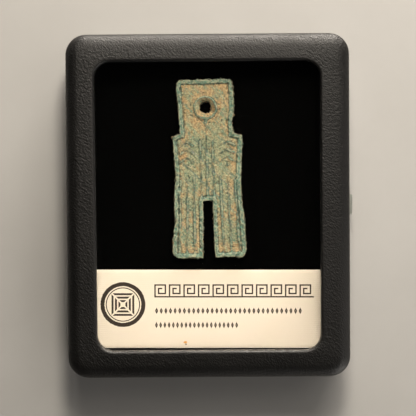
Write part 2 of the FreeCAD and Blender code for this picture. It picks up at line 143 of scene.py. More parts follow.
def leatherette(name, sheen_rough):
    """Black coated cloth: small pebbles, drawn out along one diagonal, and a few soft creases."""
    material, place, feed = start_material(name, Specular_IOR_Level=0.5, IOR=1.5)
    drawn = place.stretched((0, 0, math.radians(48)), (0.7, 1.15, 1.0))
    pebbles = drawn.make("TexVoronoi", {"feature": "SMOOTH_F1"},
                         {"Vector": drawn, "Scale": 1900.0, "Smoothness": 0.4}, "Distance")
    streaks = drawn.noise(2300.0, 3.0, 0.6)
    creases = place.stretched((0, 0, math.radians(42)), (0.6, 1.0, 0.8)).noise(420.0, 4.0, 0.6)
    grain = pebbles * 0.8 + streaks * 0.9 + creases * 0.15
    worn = place.noise(60.0, 4.0, 0.6).between(0.35, 0.75)
    feed("Base Color", worn.blend((0.0035, 0.0032, 0.0030), (0.0055, 0.0049, 0.0044)))
    feed("Roughness", (pebbles * 0.16 + sheen_rough - 0.05) + worn * 0.05)
    feed("Normal", bumped(grain, 0.00011))
    return material


def draw_outline(mesh, half_x, half_y, radius, level, step):
    """A closed outline: a rectangle with rounded corners, its sides divided at every step."""
    corners = [mesh.verts.new((x * half_x, y * half_y, level))
               for x, y in ((-1, -1), (1, -1), (1, 1), (-1, 1))]
    mesh.faces.new(corners)
    bmesh.ops.bevel(mesh, geom=corners, offset=radius, segments=12, affect="VERTICES",
                    profile=0.5, material=-1)
    bmesh.ops.delete(mesh, geom=mesh.faces[:], context="FACES_ONLY")
    for axis, half in ((0, half_x), (1, half_y)):
        sides = [edge for edge in mesh.edges
                 if abs(edge.verts[0].co[axis] - edge.verts[1].co[axis]) > half]
        bmesh.ops.subdivide_edges(mesh, edges=sides, cuts=round(2 * half / step))
    return mesh.edges[:]


def sweep(rings, step):
    """A sheet through rounded outlines, each given by its half sizes, corner radius and level."""
    mesh = bmesh.new()
    edges = draw_outline(mesh, *rings[0], step)
    for old, new in zip(rings, rings[1:]):
        made = bmesh.ops.extrude_edge_only(mesh, edges=edges)["geom"]
        verts = [part for part in made if isinstance(part, bmesh.types.BMVert)]
        for vert in verts:
            for axis in (0, 1):
                core = old[axis] - old[2]
                inner = max(-core, min(core, vert.co[axis]))
                vert.co[axis] = (inner * (new[axis] - new[2]) / core
                                 + (vert.co[axis] - inner) * new[2] / old[2])
            vert.co.z = new[3]
        fresh = set(verts)
        edges = [part for part in made if isinstance(part, bmesh.types.BMEdge)
                 and fresh.issuperset(part.verts)]
    bmesh.ops.recalc_face_normals(mesh, faces=mesh.faces[:])
    return mesh


def arc(centre, radius, start, end, steps):
    """Points on an arc of a section, each an inset and a level; angles in degrees from +inset."""
    angles = [math.radians(start + (end - start) * index / steps) for index in range(steps + 1)]
    return [(centre[0] + radius * math.cos(angle), centre[1] + radius * math.sin(angle))
            for angle in angles]


def run(start, end, steps):
    """Points on a straight of a section, without its first point."""
    return [tuple(a + (b - a) * index / steps for a, b in zip(start, end))
            for index in range(1, steps + 1)]


def cut_opening(mesh, low, high):
    """Cuts a box-shaped opening through a sheet."""
    for axis in range(3):
        for bound in (low[axis], high[axis]):
            near = [face for face in mesh.faces
                    if all(low[i] - 4 * mm < face.calc_center_median()[i] < high[i] + 4 * mm
                           for i in range(3))]
            parts = set(near)
            for face in near:
                parts.update(face.edges)
                parts.update(face.verts)
            facing = Vector([float(i == axis) for i in range(3)])
            bmesh.ops.bisect_plane(mesh, geom=list(parts), plane_co=facing * bound,
                                   plane_no=facing, dist=1e-7)
    inside = [face for face in mesh.faces
              if all(low[i] < face.calc_center_median()[i] < high[i] for i in range(3))]
    bmesh.ops.delete(mesh, geom=inside, context="FACES")


def finish_piece(mesh, name, material, body, slot, *nodes):
    """Makes a bmesh a piece that rides on a body, in place of the CAD nodes, which it hides; the
    slot is not used.
    """
    data = bpy.data.meshes.new(name)
    mesh.to_mesh(data)
    mesh.free()
    data.materials.append(material)
    data.polygons.foreach_set("use_smooth", [True] * len(data.polygons))
    data.set_sharp_from_angle(angle=math.radians(48))
    piece = bpy.data.objects.new(name, data)
    bpy.context.scene.collection.objects.link(piece)
    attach(piece, body)
    if nodes:
        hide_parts(*nodes)
    return piece


def thicken(piece, thickness):
    """Gives a sheet its thickness, inwards from its outer face."""
    wall = piece.modifiers.new("thickness", "SOLIDIFY")
    wall.thickness = thickness
    wall.offset = -1.0
    wall.use_even_offset = True
    wall.thickness_clamp = 0.5
    return piece


lid_low, lid_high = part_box("lid_cover")
half_x, half_y = lid_high.x, lid_high.y
corner = 6.6 * mm
frame_side, frame_end, window_corner = 9.0 * mm, 8.75 * mm, 5.1 * mm
window_x, window_y = half_x - frame_side, half_y - frame_end
pane_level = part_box("window_pane")[1].z
seam, lid_top = lid_low.z, lid_high.z
lip, shoulder, fold = 0.8 * mm, 4.0 * mm, 0.6 * mm
wall, tuck, turn_in = 1.6 * mm, 2.2 * mm, 4 * mm
top_steps = 7
knuckle_half, knuckle_depth = 22.65 * mm, 1.15 * mm
leaf_half, leaf_depth = 22.3 * mm, 4.4 * mm
strike_half, strike_depth = 4.8 * mm, 5 * mm

section = [(tuck, seam + turn_in)] + run((tuck, seam + turn_in), (tuck, seam + fold), 4)[:-1]
section += arc((wall, seam + fold), fold, 0, -90, 4)
section += arc((fold, seam + fold), fold, -90, -180, 4)
section += run((0.0, seam + fold), (0.0, lid_top - shoulder), 6)[:-1]
section += arc((shoulder, lid_top - shoulder), shoulder, 180, 90, 12)
rings = [(half_x - inset, half_y - inset, corner - inset, level) for inset, level in section]
outer, inner = rings[-1][:3], (window_x + lip, window_y + lip, window_corner + lip)
for index in range(1, top_steps + 1):
    share = index / top_steps
    rings.append(tuple(a + (b - a) * share for a, b in zip(outer, inner)) + (lid_top,))
for inset, level in arc((lip, lid_top - lip), lip, 90, 180, 6)[1:]:
    rings.append((window_x + inset, window_y + inset, window_corner + inset, level))
lip_level = lid_top - lip
rings += [(window_x, window_y, window_corner, lip_level - (lip_level - pane_level) * index / 3)
          for index in (1, 2, 3)]
lid_sheet = sweep(rings, 1.4 * mm)
cut_opening(lid_sheet, (-half_x - mm, -knuckle_half, seam - mm),
            (-half_x + 3 * mm, knuckle_half, seam + knuckle_depth))
cut_opening(lid_sheet, (-half_x + 2 * mm, -leaf_half, seam - mm),
            (-half_x + 3 * mm, leaf_half, seam + leaf_depth))
cut_opening(lid_sheet, (half_x - 3 * mm, -strike_half, seam - mm),
            (half_x - 2 * mm, strike_half, seam + strike_depth))
bmesh.ops.remove_doubles(lid_sheet, verts=lid_sheet.verts[:], dist=1e-7)
lid_sheet.normal_update()
if max(lid_sheet.faces, key=lambda face: face.calc_center_median().z).normal.z < 0:
    bmesh.ops.reverse_faces(lid_sheet, faces=lid_sheet.faces[:])
crown_depth, crown_reach = 2.5 * mm, 9 * mm
for vert in lid_sheet.verts:
    x, y, z = vert.co
    crown = max(0.0, 1 - (lid_top - z) / crown_depth)
    band = min(1.0, math.hypot(max(0.0, abs(x) - half_x + crown_reach),
                               max(0.0, abs(y) - half_y + crown_reach)) / crown_reach)
    ripple = noise.noise(vert.co * 80) * 0.10 + noise.noise(vert.co * 230) * 0.03
    vert.co.z -= crown * (0.75 * band ** 2 + 0.08 - 0.08 * ripple) * mm
    near_window = max(0.0, min(1.0, (window_x + 5 * mm - abs(x)) / (4 * mm)))
    if x < 0:
        vert.co.x += near_window * 0.25 * mm * (1 - y / window_y)
    else:
        vert.co.x -= near_window * 0.35 * mm
    outside = abs(x) > window_x + 3 * mm or abs(y) > window_y + 3 * mm
    if outside and crown == 0 and z > seam + 2 * mm:
        vert.co -= vert.normal * (0.05 + 0.35 * abs(ripple)) * mm
lid_leather = leatherette("lid_leatherette", 0.42)
lid_wrap = thicken(finish_piece(lid_sheet, "lid_leather_wrap", lid_leather, "lid",
                                "lid_leatherette", "lid_cover"), fold)


# Base leatherette. A strip of the same cloth, wrapped round the pressed tray: folded over the rim
# inside, and drawn under the box in a flap with cut corners. It has a hole for the button.
rim, foot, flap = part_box("base_cover")[1].z, 2.5 * mm, 9.0 * mm
section = [(flap, 0.0)] + run((flap, 0.0), (foot, 0.0), 4)[:-1]
section += arc((foot, foot), foot, -90, -180, 8)
section += run((0.0, foot), (0.0, rim - fold), 7)[:-1]
section += arc((fold, rim - fold), fold, 180, 90, 4)
section += arc((wall, rim - fold), fold, 90, 0, 4)
section += run((tuck, rim - fold), (tuck, rim - turn_in), 4)
base_sheet = sweep([(half_x - inset, half_y - inset, max(corner - inset, 0.08 * mm), level)
                    for inset, level in section], 1.4 * mm)
button_low, button_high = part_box("latch_button")
middle = (button_low.y + button_high.y) / 2
hole_z = (button_low.z + button_high.z) / 2
hole_half_y, hole_half_z, housing_half = 3.45 * mm, 2.6 * mm, 8.45 * mm
cut_opening(base_sheet, (half_x - 1.5 * mm, middle - hole_half_y, hole_z - hole_half_z),
            (half_x + mm, middle + hole_half_y, hole_z + hole_half_z))
cut_opening(base_sheet, (half_x - 3 * mm, middle - housing_half, rim - leaf_depth),
            (half_x - 1.9 * mm, middle + housing_half, rim - fold * 0.4))
cut_opening(base_sheet, (-half_x - mm, -knuckle_half, rim - knuckle_depth),
            (-half_x + 3 * mm, knuckle_half, rim + mm))
cut_opening(base_sheet, (-half_x + 1.9 * mm, -leaf_half, rim - leaf_depth),
            (-half_x + 3 * mm, leaf_half, rim + mm))
bmesh.ops.remove_doubles(base_sheet, verts=base_sheet.verts[:], dist=1e-7)
base_sheet.normal_update()
if max(base_sheet.faces, key=lambda face: face.calc_center_median().x).normal.x < 0:
    bmesh.ops.reverse_faces(base_sheet, faces=base_sheet.faces[:])
for vert in base_sheet.verts:
    depth = max(abs(vert.co.x) - half_x, abs(vert.co.y) - half_y)
    if foot < vert.co.z < rim - mm and depth > -mm:
        vert.co -= vert.normal * (0.04 + 0.06 * abs(noise.noise(vert.co * 120))) * mm
base_leather = leatherette("base_leatherette", 0.42)
base_wrap = thicken(finish_piece(base_sheet, "base_leather_wrap", base_leather, "base",
                                 "base_leatherette", "base_cover"), fold)


# Pressed steel. The lid frame and the base tray are drawn from thin sheet, zinc plated.
# They carry the hinge, the catch and all the coverings.
def metal(name, colour, rough, streak, scale, wear):
    """Plated or polished metal with fine rubbing marks, cloudy wear and small dents."""
    material, place, feed = start_material(name, Metallic=1.0)
    rubbed = place.stretched((0, 0, 0), streak).noise(scale, 5.0, 0.6)
    cloud = place.noise(scale * 0.12, 4.0, 0.6)
    feed("Base Color", cloud.between(0.3, 0.8).blend(colour, [part * wear for part in colour]))
    feed("Roughness", rubbed.between(0.2, 0.8, rough, rough + 0.18))
    feed("Normal", bumped(rubbed * 0.7 + cloud * 0.3, 0.000012))
    return material


def dress(material, *names):
    """Gives CAD nodes a finish."""
    for name in names:
        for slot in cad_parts[name].material_slots:
            slot.material = material


zinc_plate = metal("zinc_plate", (0.52, 0.53, 0.55), 0.34, (1, 6, 1), 700.0, 0.7)
dress(zinc_plate, "lid_frame", "base_tray")


# Window pane. Two millimetres of clear float glass with a ground edge, loose in its rebate.
pane_glass, place, feed = start_material("pane_glass", Transmission_Weight=1.0, IOR=1.5,
                                         Specular_IOR_Level=0.5)
haze = place.noise(45.0, 4.0, 0.6)
feed("Base Color", haze.between(0.2, 0.8).blend((1.0, 1.0, 1.0), (0.985, 0.992, 0.988)))
feed("Roughness", haze.between(0.45, 0.8, 0.004, 0.03))
tree = pane_glass.node_tree
through = place.make("MixShader", {}, {0: place.make("LightPath", output="Is Shadow Ray"),
                                       1: Signal(tree, tree.nodes["Principled BSDF"].outputs[0]),
                                       2: place.make("BsdfTransparent")})
tree.links.new(through.socket, tree.nodes["Material Output"].inputs["Surface"])
dress(pane_glass, "window_pane")


# Card parts. The liner that carries the pane, the neck that the lid closes over and the stiff
# board of the pad are cut from grey board; the neck and the liner are flocked black.
def flocked(name, colour, rough, height):
    """Short black fibres on card or cloth: a fine uneven pile that hardly shines."""
    material, place, feed = start_material(name, Specular_IOR_Level=0.12, Sheen_Weight=0.04,
                                           Sheen_Roughness=0.5)
    pile = place.noise(3800.0, 2.0, 0.6)
    patches = place.noise(70.0, 4.0, 0.6)
    feed("Base Color", patches.between(0.3, 0.8).blend(colour, [part * 1.5 for part in colour]))
    feed("Roughness", pile.between(0.3, 0.7, rough, 1.0))
    feed("Normal", bumped(pile + patches * 0.4, height))
    return material


dress(flocked("flocked_card", (0.0016, 0.0015, 0.0014), 0.9, 0.00005), "lid_liner", "base_collar")
board, place, feed = start_material("grey_board", Specular_IOR_Level=0.2)
pulp = place.stretched((0, 0, 0), (1, 1, 6)).noise(1400.0, 5.0, 0.65)
pulp_tones = [(0.3, (0.16, 0.145, 0.12)), (0.55, (0.23, 0.21, 0.18)), (0.75, (0.34, 0.31, 0.26))]
feed("Base Color", pulp.make("ValToRGB", {"stops": pulp_tones}, {"Fac": pulp}))
feed("Roughness", pulp.between(0.3, 0.8, 0.85, 0.98))
feed("Normal", bumped(pulp, 0.00004))
dress(board, "pad_board")


# Fillings. Wadding under the lid's leatherette and under the velvet, and a block of foam below
# the board. They are cut from soft sheet, so their edges are rounded and their faces uneven.
def filling_stuff(name, colour, scale, height):
    material, place, feed = start_material(name, Specular_IOR_Level=0.1, Sheen_Weight=0.15)
    fibres = place.stretched((0.3, 0.2, 0.6), (1, 2.2, 1.4)).noise(scale, 6.0, 0.7)
    feed("Base Color", fibres.between(0.25, 0.8).blend([part * 0.72 for part in colour], colour))
    feed("Roughness", fibres.between(0.2, 0.8, 0.88, 1.0))
    feed("Normal", bumped(fibres, height))
    return material


def blank_object(mesh, name):
    """A passing object that only carries a mesh through modifiers."""
    data = bpy.data.meshes.new(name)
    mesh.to_mesh(data)
    mesh.free()
    blank = bpy.data.objects.new(name, data)
    bpy.context.scene.collection.objects.link(blank)
    return blank


def applied(blank):
    """The mesh of an object with its modifiers applied."""
    depsgraph = bpy.context.evaluated_depsgraph_get()
    return bpy.data.meshes.new_from_object(blank.evaluated_get(depsgraph))


def softened(node, voxel, smooths, lump):
    """A copy of a CAD solid, remeshed evenly, rounded off and made a little uneven."""
    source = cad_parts[node]
    mesh = bmesh.new()
    mesh.from_mesh(source.data)
    bmesh.ops.remove_doubles(mesh, verts=mesh.verts[:], dist=1e-7)
    blank = blank_object(mesh, node + "_blank")
    remesh = blank.modifiers.new("even", "REMESH")
    remesh.mode, remesh.voxel_size = "VOXEL", voxel
    evened = applied(blank)
    mesh = bmesh.new()
    mesh.from_mesh(evened)
    bpy.data.objects.remove(blank)
    for _ in range(smooths):
        bmesh.ops.smooth_vert(mesh, verts=mesh.verts[:], factor=0.5, use_axis_x=True,
                              use_axis_y=True, use_axis_z=True)
    mesh.normal_update()
    for vert in mesh.verts:
        bite = 0.5 + 0.5 * noise.fractal(vert.co * 400, 1.0, 2.0, 3)
        vert.co -= vert.normal * lump * max(0.0, bite)
    return mesh


wadding_stuff = filling_stuff("polyester_wadding", (0.78, 0.77, 0.73), 1800.0, 0.0002)
foam_stuff = filling_stuff("grey_foam", (0.16, 0.16, 0.165), 2600.0, 0.00018)
for node, name, stuff, body, slot, voxel in (
        ("lid_padding", "lid_wadding", wadding_stuff, "lid", "wadding", 0.6 * mm),
        ("pad_wadding", "pad_wadding_sheet", wadding_stuff, "base", "wadding", 0.9 * mm),
        ("foam_block", "pad_foam_block", foam_stuff, "base", "pad_foam", 1.2 * mm)):
    shape = softened(node, voxel, 2, 0.12 * mm)
    if node == "pad_wadding":  # the velvet presses its upper rim down and in
        lowest = min(vert.co.z for vert in shape.verts)
        for vert in shape.verts:
            share = (vert.co.z - lowest) / (1.8 * mm)
            vert.co.z = lowest + (vert.co.z - lowest) * 0.84
            vert.co.x *= 1 - 0.026 * share
            vert.co.y *= 1 - 0.021 * share
    filling = finish_piece(shape, name, stuff, body, slot, node)


# Velvet. A square of black cotton velvet, pulled over the wadding and glued under the board.
# The wadding swells it, and the coin and the card press it flat.
def make_velvet():
    material, place, feed = start_material("black_velvet", Specular_IOR_Level=0.015,
                                           Sheen_Weight=0.002, Sheen_Roughness=0.35)
    pile = place.noise(4200.0, 2.0, 0.6)
    brushed = place.stretched((0, 0, 0.5), (1, 2.5, 1)).noise(120.0, 5.0, 0.65)
    flecks = place.make("TexVoronoi", {}, {"Vector": place, "Scale": 210.0, "Randomness": 1.0},
                        "Distance")
    sparse = place.noise(95.0, 1.0, 0.4).between(0.58, 0.62)
    dust = flecks.between(0.035, 0.020) * sparse * 0.16
    velvet = brushed.between(0.3, 0.8).blend((0.0004, 0.0004, 0.0003), (0.0008, 0.0008, 0.0006))
    feed("Base Color", dust.blend(velvet, (0.7, 0.68, 0.62)))
    feed("Roughness", pile.between(0.3, 0.7, 0.93, 1.0))
    feed("Normal", bumped(pile + brushed * 0.6, 0.00005))
    return material


def swell(piece, held, pressure, limit):
    """Lets a closed cloth swell under pressure for twenty frames, each point by a limited way."""
    start = [vert.co.copy() for vert in piece.data.vertices]
    group = piece.vertex_groups.new(name="held")
    group.add([index for index, place in enumerate(start) if held(place)], 1.0, "REPLACE")
    cloth = piece.modifiers.new("cloth", "CLOTH")
    cloth.settings.quality = 6
    cloth.settings.mass = 0.2
    cloth.settings.use_pressure = True
    cloth.settings.uniform_pressure_force = pressure
    cloth.settings.vertex_group_mass = "held"
    cloth.settings.effector_weights.gravity = 0.0
    scene = bpy.context.scene
    for step in range(1, 21):
        scene.frame_set(step)
    depsgraph = bpy.context.evaluated_depsgraph_get()
    swollen = [vert.co.copy() for vert in piece.evaluated_get(depsgraph).data.vertices]
    piece.modifiers.remove(cloth)
    scene.frame_set(1)
    for vert, before, after in zip(piece.data.vertices, start, swollen):
        way = after - before
        vert.co = before + way * min(1.0, limit / max(way.length, 1e-9))


velvet_low, velvet_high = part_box("velvet_cover")
pad_x, pad_y, pad_top = velvet_high.x, velvet_high.y, velvet_high.z
edge_round, slack = 1.6 * mm, 0.25 * mm
start_top = pad_top - 0.35 * mm
section = [(slack, velvet_low.z)] + run((slack, velvet_low.z), (slack, start_top - edge_round), 2)
section += arc((slack + edge_round, start_top - edge_round), edge_round, 180, 90, 6)[1:]
blank_mesh = sweep([(pad_x - inset, pad_y - inset, 2.9 * mm - inset, level)
                    for inset, level in section], 1.7 * mm)
for level in (velvet_low.z, start_top):
    loop = [edge for edge in blank_mesh.edges if edge.is_boundary
            and abs(edge.verts[0].co.z - level) < 1e-6 and abs(edge.verts[1].co.z - level) < 1e-6]
    bmesh.ops.contextual_create(blank_mesh, geom=loop)
bmesh.ops.recalc_face_normals(blank_mesh, faces=blank_mesh.faces[:])
notch_mesh = bmesh.new()
bmesh.ops.create_cube(notch_mesh, size=1.0, matrix=Matrix.Translation((pad_x, 0, pad_top))
                      @ Matrix.Diagonal((2 * (pad_x - 37.4 * mm), 17.4 * mm, 20 * mm, 1)))
blank, notch = blank_object(blank_mesh, "velvet_blank"), blank_object(notch_mesh, "velvet_notch")
cut = blank.modifiers.new("notch", "BOOLEAN")
cut.operation, cut.object, cut.solver = "DIFFERENCE", notch, "EXACT"
remesh = blank.modifiers.new("even", "REMESH")
remesh.mode, remesh.voxel_size = "VOXEL", 1.0 * mm
velvet_data = applied(blank)
for shape in (blank, notch):
    bpy.data.objects.remove(shape)
velvet = bpy.data.objects.new("velvet_over_pad", velvet_data)
bpy.context.scene.collection.objects.link(velvet)
swell(velvet, lambda place: place.z < velvet_low.z + 1.2 * mm, 4.0, 0.5 * mm)
label_low, label_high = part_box("label_card")
coin_low, coin_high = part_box("spade_coin")
velvet_mesh = bmesh.new()
velvet_mesh.from_mesh(velvet.data)
bpy.data.objects.remove(velvet)
for vert in velvet_mesh.verts:
    x, y, z = vert.co
    if z > pad_top - 2 * mm:
        clear = min(max(low.x - x, x - high.x, low.y - y, y - high.y, 0.0) for low, high in
                    ((label_low, label_high), (coin_low, coin_high)))
        free = min(1.0, clear / (5 * mm))
        ripple = noise.noise(vert.co * 60) * 0.08 * mm
        vert.co.z = min(z + ripple * free, pad_top - 0.01 * mm + 0.3 * mm * free * free)
    vert.co.x = max(-pad_x, min(pad_x, vert.co.x))
    vert.co.y = max(-pad_y, min(pad_y, vert.co.y))
underside = [face for face in velvet_mesh.faces
             if face.calc_center_median().z < velvet_low.z + 0.7 * mm and face.normal.z < -0.5]
bmesh.ops.delete(velvet_mesh, geom=underside, context="FACES")
bmesh.ops.subdivide_edges(velvet_mesh, edges=velvet_mesh.edges[:], cuts=1, smooth=0.5,
                          use_grid_fill=True)
velvet = thicken(finish_piece(velvet_mesh, "velvet_over_pad", make_velvet(), "base", "black_velvet",
                              "velvet_cover"), 0.5 * mm)


# Felt. A rectangle of black felt, cut a little smaller than the leatherette's flap leaves free
# and glued to the underside of the tray, so that the box doesn't mark the table.
felt_low, felt_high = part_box("base_felt")
felt_mesh = bmesh.new()
felt_size = felt_high - felt_low
bmesh.ops.create_cube(felt_mesh, size=1.0, matrix=Matrix.Translation((felt_low + felt_high) / 2)
                      @ Matrix.Diagonal((*felt_size, 1)))
long_edges = [edge for edge in felt_mesh.edges if edge.calc_length() > 2 * mm]
bmesh.ops.bevel(felt_mesh, geom=long_edges, offset=0.25 * mm, segments=3, profile=0.5,
                affect="EDGES", material=-1)
long_edges = [edge for edge in felt_mesh.edges if edge.calc_length() > 20 * mm]
bmesh.ops.subdivide_edges(felt_mesh, edges=long_edges, cuts=48, use_grid_fill=True)
for vert in felt_mesh.verts:
    if vert.co.z > felt_low.z + 0.1 * mm:
        vert.co += Vector((noise.noise(vert.co * 500), noise.noise(vert.co * 520), 0)) * 0.06 * mm
felt_stuff = flocked("black_felt", (0.004, 0.004, 0.004), 0.92, 0.00009)
felt = finish_piece(felt_mesh, "underside_felt", felt_stuff, "base", "black_felt", "base_felt")


# Label. A trimmed piece of cream laid card, slid under the frame at both sides. It is printed in
# brown-black with a ring emblem, a running fret and two rows of beads.
def label_print():
    material, place, feed = start_material("label_paper", Specular_IOR_Level=0.2)
    place = place.make("Attribute", {"attribute_name": "card_place"}, output="Vector")
    x, y = (place.make("SeparateXYZ", {}, {0: place}, axis) for axis in ("X", "Y"))

    def box(left, bottom, right, top, x=x, y=y):
        across = (right - left) / 2 - (x - (left + right) / 2).math("ABSOLUTE")
        along = (top - bottom) / 2 - (y - (bottom + top) / 2).math("ABSOLUTE")
        return across.math("MINIMUM", along)

    def joined(shapes):
        whole = shapes[0]
        for shape in shapes[1:]:
            whole = whole.math("MAXIMUM", shape)
        return whole

    pitch, unit = 4.62, 0.47
    cell_x = (x + 17.4).math("MODULO", pitch)
    cell_y = y - 3.35
    strokes = ((0, 0, 9.83, 1), (0, 0, 1, 9), (0, 8, 8, 9), (7, 2.2, 8, 9), (2.4, 2.2, 8, 3.2),
               (2.4, 2.2, 3.4, 6.6), (2.4, 5.6, 5.4, 6.6))
    fret = joined([box(*[value * unit for value in stroke], x=cell_x, y=cell_y)
                   for stroke in strokes])
    fret = fret.math("MINIMUM", box(-17.4, 3.0, 33.42, 8.0))

    def beads(bottom, height, left, right, pitch):
        bead_x = ((x - left).math("MODULO", pitch) - pitch / 2).math("ABSOLUTE")
        bead_y = (y - (bottom + height / 2)).math("ABSOLUTE")
        lozenge = height * 0.42 - (bead_x * (height / pitch) * 1.25 + bead_y)
        hollow = (bead_x * 1.3 + bead_y) - height * 0.06
        line = box(left, bottom - 1, right, bottom + height + 1)
        return lozenge.math("MINIMUM", hollow).math("MINIMUM", line)

    rows = joined([beads(-2.15, 2.5, -17.4, 29.8, 1.475), beads(-6.7, 2.5, -17.4, 9.5, 1.345)])
    edge_wear = place.noise(3.5, 3.0, 0.6)
    ring_x, ring_y = x + 27.4, y - 1.1
    round_ = (ring_x * ring_x + ring_y * ring_y).math("SQRT")
    nested = ring_x.math("ABSOLUTE").math("MAXIMUM", ring_y.math("ABSOLUTE"))
    rim = 0.66 - (round_ - 6.5 - (edge_wear - 0.5) * 0.5).math("ABSOLUTE")
    thin_rim = 0.16 - (round_ - 5.3).math("ABSOLUTE")
    frames = joined([0.33 - (nested - half).math("ABSOLUTE") for half in (1.1, 2.2, 3.3)])
    gaps = (ring_x.math("ABSOLUTE") - ring_y.math("ABSOLUTE")).math("ABSOLUTE") - 0.34
    emblem = joined([rim, thin_rim, frames.math("MINIMUM", gaps)])
    ink = joined([fret, rows, emblem]) + (edge_wear - 0.5) * 0.10
    ink = ink.between(-0.035, 0.045)
    laid = (y * (2 * math.pi / 0.62)).math("SINE") * 0.5 + 0.5
    fibre = place.stretched((0, 0, 0), (0.25, 1.2, 1.0)).noise(2.6, 5.0, 0.65)
    stain = place.noise(0.09, 4.0, 0.6)
    card = stain.between(0.25, 0.8).blend((0.70, 0.625, 0.53), (0.67, 0.595, 0.49))
    card = (laid * 0.35 + fibre * 0.4).between(0.15, 0.75).blend(card, (0.65, 0.575, 0.465))
    for left, low, reach, tone in ((7.5, 10.9, 0.75, (0.62, 0.30, 0.07)),
                                   (7.3, 11.6, 0.42, (0.16, 0.12, 0.08))):
        fleck_x, fleck_y = x + left, (y + low) * 1.5
        fleck = (fleck_x * fleck_x + fleck_y * fleck_y).math("SQRT") + (fibre - 0.5) * 0.8
        card = fleck.between(reach, reach * 0.5).blend(card, tone)
    feed("Base Color", ink.blend(card, (0.030, 0.021, 0.015)))
    feed("Roughness", ink.between(0.0, 1.0, 0.82, 0.62))
    feed("Normal", bumped(laid * 0.5 + fibre * 0.7 - ink * 0.15, 0.00003))
    return material


card_turn = Matrix.Rotation(math.radians(-0.4), 3, "Z")
card_centre = Vector(((label_low.x + label_high.x) / 2, (label_low.y + label_high.y) / 2, 0))
across, along = (abs(value) for value in (label_high - label_low).to_2d())
slope = math.radians(0.4)
card_half_x = (across - along * slope) / 2
card_half_y = (along - 2 * card_half_x * slope) / 2
low_edge = 0.6 * mm
card_mesh = bmesh.new()
thick = label_high.z - label_low.z
bmesh.ops.create_cube(card_mesh, size=1.0,
                      matrix=Matrix.Translation((0, -low_edge / 2, label_low.z + thick / 2))
                      @ Matrix.Diagonal((2 * card_half_x, 2 * card_half_y + low_edge, thick, 1)))
rims = [edge for edge in card_mesh.edges if edge.calc_length() > mm]
bmesh.ops.bevel(card_mesh, geom=rims, offset=0.14 * mm, segments=3, profile=0.5, affect="EDGES",
                material=-1)
for axis, cuts in ((0, 60), (1, 20)):
    sides = [edge for edge in card_mesh.edges
             if abs(edge.verts[0].co[axis] - edge.verts[1].co[axis]) > 10 * mm]
    bmesh.ops.subdivide_edges(card_mesh, edges=sides, cuts=cuts, use_grid_fill=True)
stamp = card_mesh.verts.layers.float_vector.new("card_place")
for vert in card_mesh.verts:
    vert[stamp] = vert.co * 1000
    x, y, z = vert.co
    frayed = noise.noise(Vector((x * 900, y * 900, 7))) * 0.05 * mm
    if y > card_half_y - 0.2 * mm or y < 0.2 * mm - card_half_y - low_edge:
        vert.co.y -= math.copysign(abs(frayed), y)
    if z > label_low.z + thick / 2:
        vert.co.z -= (0.06 + 0.06 * noise.noise(Vector((x * 30, y * 30, 3)))) * mm
    vert.co = card_turn @ vert.co + card_centre
finish_piece(card_mesh, "printed_label", label_print(), "base", "label_paper", "label_card")


# Coin. Cast bronze with raised rims, a ringed hole and ribs, corroded in the ground: green on the
# raised lines, tan earth in the fields, dark crust and pits along the worn edges. Its colour also
# carries painted shade: darker at the foot of the raised lines, in the hollows and on the steep
# faces.
coin_turn, coin_place = math.radians(1.1), Vector((-0.3, 11.85, 0)) * mm
coin_mesh = softened("spade_coin", 0.19 * mm, 4, 0.0)
# Half widths at levels along the coin, in millimetres from its middle: as cast, then as worn.
even_outline = ((-28.3, 11.95), (-2.8, 10.45), (10.1, 11.1), (10.9, 11.1), (10.95, 8.45),
                (28.3, 9.2))
left_outline = ((-28.3, 10.9), (-26.4, 11.45), (-23.2, 11.35), (-17.1, 10.6), (-9.0, 10.55),
                (-0.9, 10.0), (7.2, 10.4), (8.8, 10.6), (10.9, 10.85), (10.95, 8.15),
                (25.6, 9.1), (27.2, 8.9), (28.3, 8.1))
right_outline = ((-28.3, 11.2), (-25.9, 11.95), (-21.8, 11.6), (-15.7, 11.35), (-9.65, 10.7),
                 (-3.55, 10.55), (2.5, 11.0), (8.2, 11.4), (10.9, 11.2), (10.95, 8.65),
                 (14.7, 8.1), (17.2, 8.8), (19.0, 8.9), (24.8, 8.75), (27.2, 8.5), (28.3, 7.8))
half_length, edge_band = 28.3, 1.9
ring_place, ring_inner, ring_outer = (-0.15, 19.1), 3.0, 3.7
# Casting flaws: both ends of each, its half width and its rise.
flaws = (((4.6, 24.6), (5.3, 19.5), 0.8, 0.14), ((5.3, 19.5), (4.8, 12.4), 0.9, 0.12),
         ((-4.9, 17.0), (-1.2, 14.9), 0.35, -0.22), ((5.6, 2.6), (7.6, 2.2), 0.4, 0.22),
         ((5.4, -2.4), (7.6, -2.6), 0.4, 0.2), ((-7.6, 1.8), (-3.4, -0.6), 0.45, 0.2),
         ((-9.4, -20.0), (-7.9, -26.0), 0.5, 0.14), ((7.2, 26.0), (6.9, 14.0), 0.45, 0.12),
         ((-8.2, 22.5), (-7.6, 15.0), 0.5, -0.10))


def clamped(value, high=1.0):
    return max(0.0, min(high, value))


def level_at(points, along):
    """The half width of an outline at a level."""
    for (low, first), (high, second) in zip(points, points[1:]):
        if low <= along <= high:
            return first + (second - first) * (along - low) / (high - low)
    return points[0][1] if along < points[0][0] else points[-1][1]


def worn_edges(across, along):
    """Moves a point of the even casting to the worn outline; also gives how far inside it is."""
    even = level_at(even_outline, along)
    worn = level_at(left_outline if across < 0 else right_outline, along)
    share = min(1.0, abs(across) / even)
    moved = across * (1 + (worn / even - 1) * share * share)
    slot = math.hypot(max(0.0, abs(across) - 1.2), max(0.0, along + 10.4))
    shoulder = math.hypot(max(0.0, 8.4 - abs(across)), along - 11.0)
    return moved, min(worn - abs(moved), half_length - abs(along), slot, shoulder)


